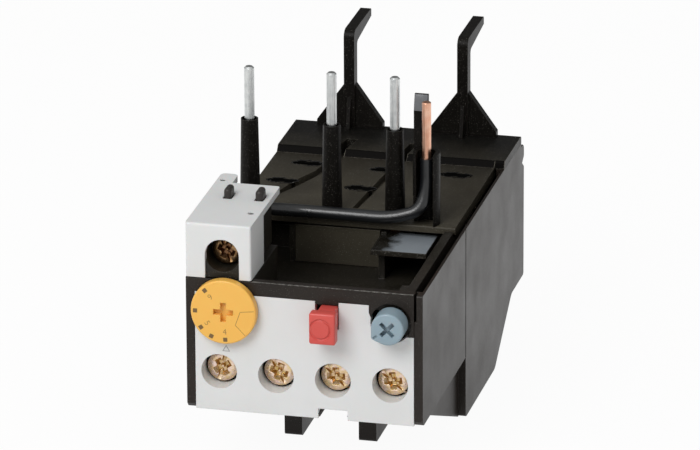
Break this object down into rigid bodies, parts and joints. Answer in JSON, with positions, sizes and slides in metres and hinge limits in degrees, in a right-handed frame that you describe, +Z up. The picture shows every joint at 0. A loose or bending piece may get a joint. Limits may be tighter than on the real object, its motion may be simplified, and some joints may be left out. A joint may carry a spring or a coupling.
{
  "type": "thermal overload relay",
  "caption": "Motor protection relay that plugs under a contactor: black housing, white front with screw terminals, setting dial, buttons, pole pins and rear hooks.",
  "frame": {"origin": "middle of the relay's footprint, on the surface it stands on", "axes": "+X to the right seen from the front, +Y from the front plate to the hooks, +Z up from the feet to the pole pins"},
  "size_m": [0.045, 0.1024, 0.0661],
  "materials": {
    "black_plastic": "fine moulded texture",
    "hook_plastic": "smooth glass-filled moulding",
    "white_plastic": "satin",
    "yellow_plastic": "satin",
    "red_plastic": "satin",
    "blue_grey_plastic": "satin",
    "nylon": "natural",
    "tinned_steel": "satin",
    "zinc_steel": "zinc plated",
    "yellow_zinc": "yellow passivated zinc on steel",
    "brass": "bright",
    "copper": "bare copper",
    "bimetal": "rolled strip",
    "heater_ribbon": "oxidised",
    "wire_jacket": "smooth"
  },
  "bodies": {
    "housing": {"base_housing": "black_plastic", "top_cover": "black_plastic", "recess_liner": "black_plastic", "contact_carrier": "black_plastic", "front_plate": "white_plastic", "terminal_cover": "white_plastic", "front_bezel": "black_plastic", "mounting_hooks": "hook_plastic", "wire_guide": "hook_plastic", "pin_sleeves": "hook_plastic", "coil_terminal_block": "black_plastic", "coil_terminal_bar": "tinned_steel", "link_wire": "wire_jacket", "link_wire_core": "copper", "load_bars": "copper", "nc_contact_bars": "brass", "no_contact_bars": "brass", "pole_pin_1": "tinned_steel", "line_bar_1": "copper", "pole_pin_2": "tinned_steel", "line_bar_2": "copper", "pole_pin_3": "tinned_steel", "line_bar_3": "copper"},
    "dial": {"setting_dial": "yellow_plastic", "setting_cam": "nylon"},
    "setting_lever": {"setting_lever": "zinc_steel"},
    "stop_button": {"test_button": "red_plastic", "test_plunger": "nylon"},
    "nc_blade": {"nc_contact_blade": "brass"},
    "reset_slider": {"reset_collar": "nylon"},
    "reset_knob": {"reset_knob": "blue_grey_plastic"},
    "trip_slide": {"trip_slide": "nylon"},
    "trip_lever": {"trip_lever": "nylon", "compensating_strip": "bimetal"},
    "rocker": {"trip_rocker": "nylon", "no_contact_blade": "brass"},
    "bimetal_1": {"bimetal_strip_1": "bimetal", "heater_winding_1": "heater_ribbon"},
    "bimetal_2": {"bimetal_strip_2": "bimetal", "heater_winding_2": "heater_ribbon"},
    "bimetal_3": {"bimetal_strip_3": "bimetal", "heater_winding_3": "heater_ribbon"},
    "aux_screw_1": {"aux_screw_1": "yellow_zinc"},
    "aux_clamp_1": {"aux_clamp_1": "zinc_steel"},
    "aux_screw_2": {"aux_screw_2": "yellow_zinc"},
    "aux_clamp_2": {"aux_clamp_2": "zinc_steel"},
    "aux_screw_3": {"aux_screw_3": "yellow_zinc"},
    "aux_clamp_3": {"aux_clamp_3": "zinc_steel"},
    "aux_screw_4": {"aux_screw_4": "yellow_zinc"},
    "aux_clamp_4": {"aux_clamp_4": "zinc_steel"},
    "main_screw_1": {"main_screw_1": "yellow_zinc"},
    "main_clamp_1": {"main_clamp_1": "zinc_steel"},
    "main_screw_2": {"main_screw_2": "yellow_zinc"},
    "main_clamp_2": {"main_clamp_2": "zinc_steel"},
    "main_screw_3": {"main_screw_3": "yellow_zinc"},
    "main_clamp_3": {"main_clamp_3": "zinc_steel"},
    "coil_screw": {"coil_screw": "yellow_zinc"},
    "coil_clamp": {"coil_clamp": "zinc_steel"}
  },
  "joints": [
    {"name": "dial_turn", "type": "hinge", "parent": "housing", "child": "dial", "pos_m": [-0.0149, -0.04625, 0.0325], "axis": [0, -1, 0], "range_deg": [0, 143.5]},
    {"name": "setting_lever_pivot", "type": "hinge", "parent": "housing", "child": "setting_lever", "pos_m": [-0.008, -0.04295, 0.0302], "axis": [0, 1, 0], "range_deg": [-8.6, 0.2]},
    {"name": "stop_button_press", "type": "slide", "parent": "housing", "child": "stop_button", "axis": [0, 1, 0], "range_m": [0, 0.0012], "stiffness_N_per_m": 400},
    {"name": "nc_blade_pivot", "type": "hinge", "parent": "rocker", "child": "nc_blade", "pos_m": [-0.0035, -0.02195, 0.0185], "axis": [0, 0, 1], "range_deg": [-0.5, 9.2]},
    {"name": "reset_press", "type": "slide", "parent": "housing", "child": "reset_slider", "axis": [0, 1, 0], "range_m": [0, 0.002], "stiffness_N_per_m": 350},
    {"name": "reset_mode_turn", "type": "hinge", "parent": "reset_slider", "child": "reset_knob", "pos_m": [0.0167, -0.04625, 0.03255], "axis": [0, -1, 0], "range_deg": [0, 90]},
    {"name": "trip_travel", "type": "slide", "parent": "housing", "child": "trip_slide", "axis": [1, 0, 0], "range_m": [0, 0.0016], "stiffness_N_per_m": 400},
    {"name": "bimetal_1_bend", "type": "hinge", "parent": "housing", "child": "bimetal_1", "pos_m": [-0.0144, 0.01875, 0.013], "axis": [0, 1, 0], "range_deg": [-0.3, 5.8]},
    {"name": "bimetal_2_bend", "type": "hinge", "parent": "housing", "child": "bimetal_2", "pos_m": [0, 0.01875, 0.013], "axis": [0, 1, 0], "range_deg": [-0.3, 5.8]},
    {"name": "bimetal_3_bend", "type": "hinge", "parent": "housing", "child": "bimetal_3", "pos_m": [0.0144, 0.01875, 0.013], "axis": [0, 1, 0], "range_deg": [-0.3, 5.8]},
    {"name": "trip_lever_pivot", "type": "hinge", "parent": "housing", "child": "trip_lever", "pos_m": [0.0145, 0.00225, 0.0232], "axis": [0, 0, 1], "range_deg": [-6, 0.3]},
    {"name": "rocker_pivot", "type": "hinge", "parent": "housing", "child": "rocker", "pos_m": [-0.002, -0.01875, 0.0222], "axis": [0, 0, 1], "range_deg": [-0.3, 8.6]},
    {"name": "aux_clamp_1_rise", "type": "slide", "parent": "housing", "child": "aux_clamp_1", "axis": [0, -1, 0], "range_m": [0, 0.0042]},
    {"name": "aux_screw_1_turn", "type": "hinge", "parent": "housing", "child": "aux_screw_1", "pos_m": [-0.0163, -0.04125, 0.01997], "axis": [0, 1, 0], "range_deg": [-2, 2525]},
    {"name": "aux_clamp_2_rise", "type": "slide", "parent": "housing", "child": "aux_clamp_2", "axis": [0, -1, 0], "range_m": [0, 0.0042]},
    {"name": "aux_screw_2_turn", "type": "hinge", "parent": "housing", "child": "aux_screw_2", "pos_m": [-0.00543, -0.04125, 0.01997], "axis": [0, 1, 0], "range_deg": [-2, 2525]},
    {"name": "aux_clamp_3_rise", "type": "slide", "parent": "housing", "child": "aux_clamp_3", "axis": [0, -1, 0], "range_m": [0, 0.0042]},
    {"name": "aux_screw_3_turn", "type": "hinge", "parent": "housing", "child": "aux_screw_3", "pos_m": [0.00543, -0.04125, 0.01997], "axis": [0, 1, 0], "range_deg": [-2, 2525]},
    {"name": "aux_clamp_4_rise", "type": "slide", "parent": "housing", "child": "aux_clamp_4", "axis": [0, -1, 0], "range_m": [0, 0.0042]},
    {"name": "aux_screw_4_turn", "type": "hinge", "parent": "housing", "child": "aux_screw_4", "pos_m": [0.0163, -0.04125, 0.01997], "axis": [0, 1, 0], "range_deg": [-2, 2525]},
    {"name": "main_clamp_1_rise", "type": "slide", "parent": "housing", "child": "main_clamp_1", "axis": [0, -1, 0], "range_m": [0, 0.0049]},
    {"name": "main_screw_1_turn", "type": "hinge", "parent": "housing", "child": "main_screw_1", "pos_m": [-0.0144, -0.01125, 0.006], "axis": [0, 1, 0], "range_deg": [-2, 2525]},
    {"name": "main_clamp_2_rise", "type": "slide", "parent": "housing", "child": "main_clamp_2", "axis": [0, -1, 0], "range_m": [0, 0.0049]},
    {"name": "main_screw_2_turn", "type": "hinge", "parent": "housing", "child": "main_screw_2", "pos_m": [0, -0.01125, 0.006], "axis": [0, 1, 0], "range_deg": [-2, 2525]},
    {"name": "main_clamp_3_rise", "type": "slide", "parent": "housing", "child": "main_clamp_3", "axis": [0, -1, 0], "range_m": [0, 0.0049]},
    {"name": "main_screw_3_turn", "type": "hinge", "parent": "housing", "child": "main_screw_3", "pos_m": [0.0144, -0.01125, 0.006], "axis": [0, 1, 0], "range_deg": [-2, 2525]},
    {"name": "coil_clamp_rise", "type": "slide", "parent": "housing", "child": "coil_clamp", "axis": [0, -1, 0], "range_m": [0, 0.003]},
    {"name": "coil_screw_turn", "type": "hinge", "parent": "housing", "child": "coil_screw", "pos_m": [-0.01555, -0.03825, 0.0428], "axis": [0, 1, 0], "range_deg": [-2, 1805]}
  ],
  "couplings": [
    {"joint": "bimetal_1_bend", "follows": "trip_travel", "rad_per_m": 58.8},
    {"joint": "bimetal_2_bend", "follows": "trip_travel", "rad_per_m": 58.8},
    {"joint": "bimetal_3_bend", "follows": "trip_travel", "rad_per_m": 58.8},
    {"joint": "trip_lever_pivot", "follows": "trip_travel", "rad_per_m": -60.6},
    {"joint": "rocker_pivot", "follows": "trip_travel", "rad_per_m": 89.1},
    {"joint": "nc_blade_pivot", "follows": "stop_button_press", "rad_per_m": 127.4},
    {"joint": "setting_lever_pivot", "follows": "dial_turn", "ratio": -0.0579},
    {"joint": "aux_screw_1_turn", "follows": "aux_clamp_1_rise", "rad_per_m": 10472},
    {"joint": "aux_screw_2_turn", "follows": "aux_clamp_2_rise", "rad_per_m": 10472},
    {"joint": "aux_screw_3_turn", "follows": "aux_clamp_3_rise", "rad_per_m": 10472},
    {"joint": "aux_screw_4_turn", "follows": "aux_clamp_4_rise", "rad_per_m": 10472},
    {"joint": "main_screw_1_turn", "follows": "main_clamp_1_rise", "rad_per_m": 8976},
    {"joint": "main_screw_2_turn", "follows": "main_clamp_2_rise", "rad_per_m": 8976},
    {"joint": "main_screw_3_turn", "follows": "main_clamp_3_rise", "rad_per_m": 8976},
    {"joint": "coil_screw_turn", "follows": "coil_clamp_rise", "rad_per_m": 10472}
  ]
}
